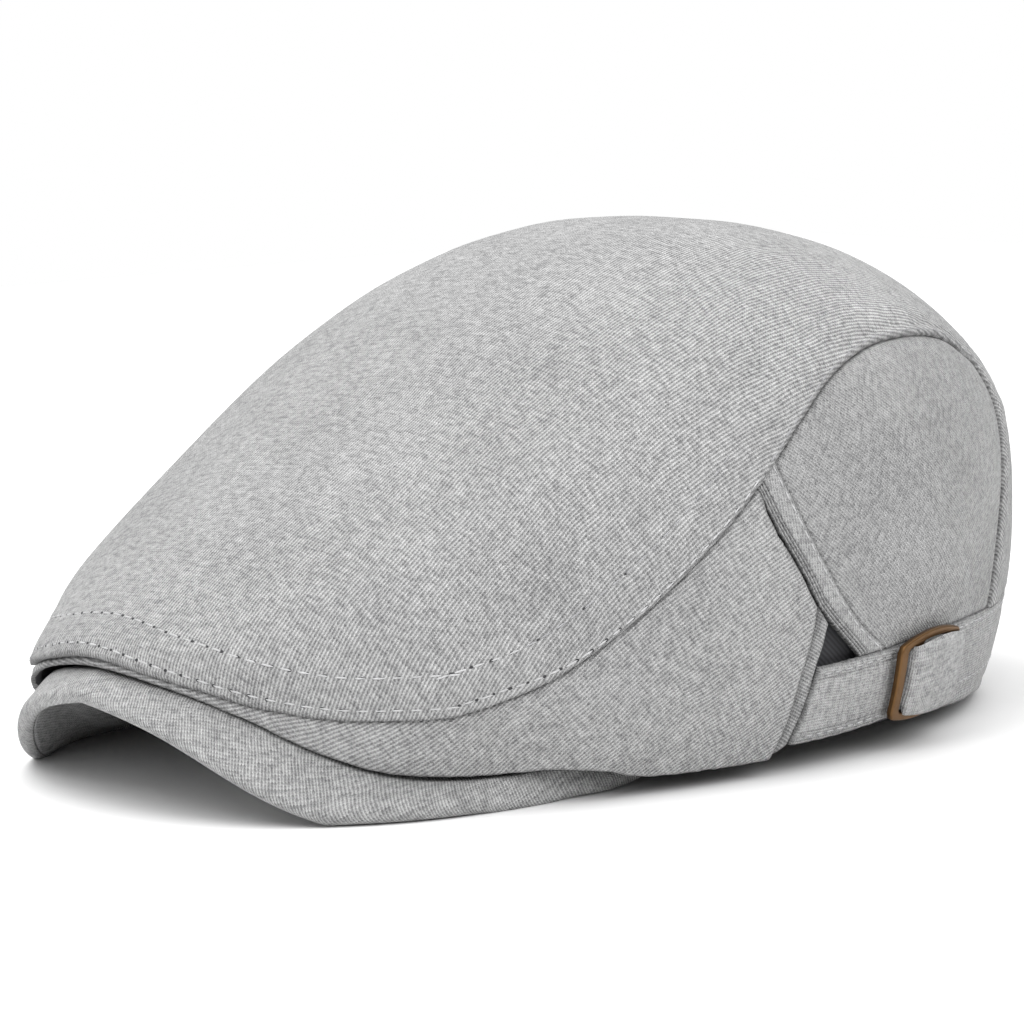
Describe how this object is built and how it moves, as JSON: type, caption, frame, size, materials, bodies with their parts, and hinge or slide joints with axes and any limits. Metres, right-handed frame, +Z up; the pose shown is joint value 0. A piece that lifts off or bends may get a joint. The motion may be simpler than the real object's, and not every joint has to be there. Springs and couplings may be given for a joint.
{
  "type": "flat cap",
  "caption": "Flat cap in grey heather jersey with a curved brim under the crown's front edge and a strap with a slide buckle at each side of the back.",
  "frame": {"origin": "centre of the cap's outline on the floor that it stands on", "axes": "+X to the wearer's left, -Y to the front, +Z up; the brim's lower edges and the rear band stand on Z = 0"},
  "size_m": [0.1978, 0.2822, 0.1257],
  "materials": {
    "jersey_top": "light grey heather knit jersey",
    "jersey_side": "grey heather knit jersey",
    "jersey_strap": "grey heather knit jersey, stitched in two rows",
    "inner_band": "dark woven cotton tape",
    "brim_board": "moulded stiffener, hidden between the covers",
    "antique_brass": "antique brass, satin"
  },
  "bodies": {
    "root": {"crown_top": "jersey_top", "side_panel_left": "jersey_side", "side_panel_right": "jersey_side", "slit_binding_left": "jersey_top", "slit_binding_right": "jersey_top", "back_panel_left": "jersey_side", "back_panel_right": "jersey_side", "edge_strip_left": "jersey_side", "edge_strip_right": "jersey_side", "strap_left": "jersey_strap", "strap_right": "jersey_strap", "buckle_left": "antique_brass", "buckle_right": "antique_brass", "buckle_loop_left": "jersey_strap", "buckle_loop_right": "jersey_strap", "rear_band": "jersey_strap", "sweatband": "inner_band", "brim_top_cover": "jersey_side", "brim_board": "brim_board", "brim_under_cover": "jersey_side"}
  },
  "joints": []
}
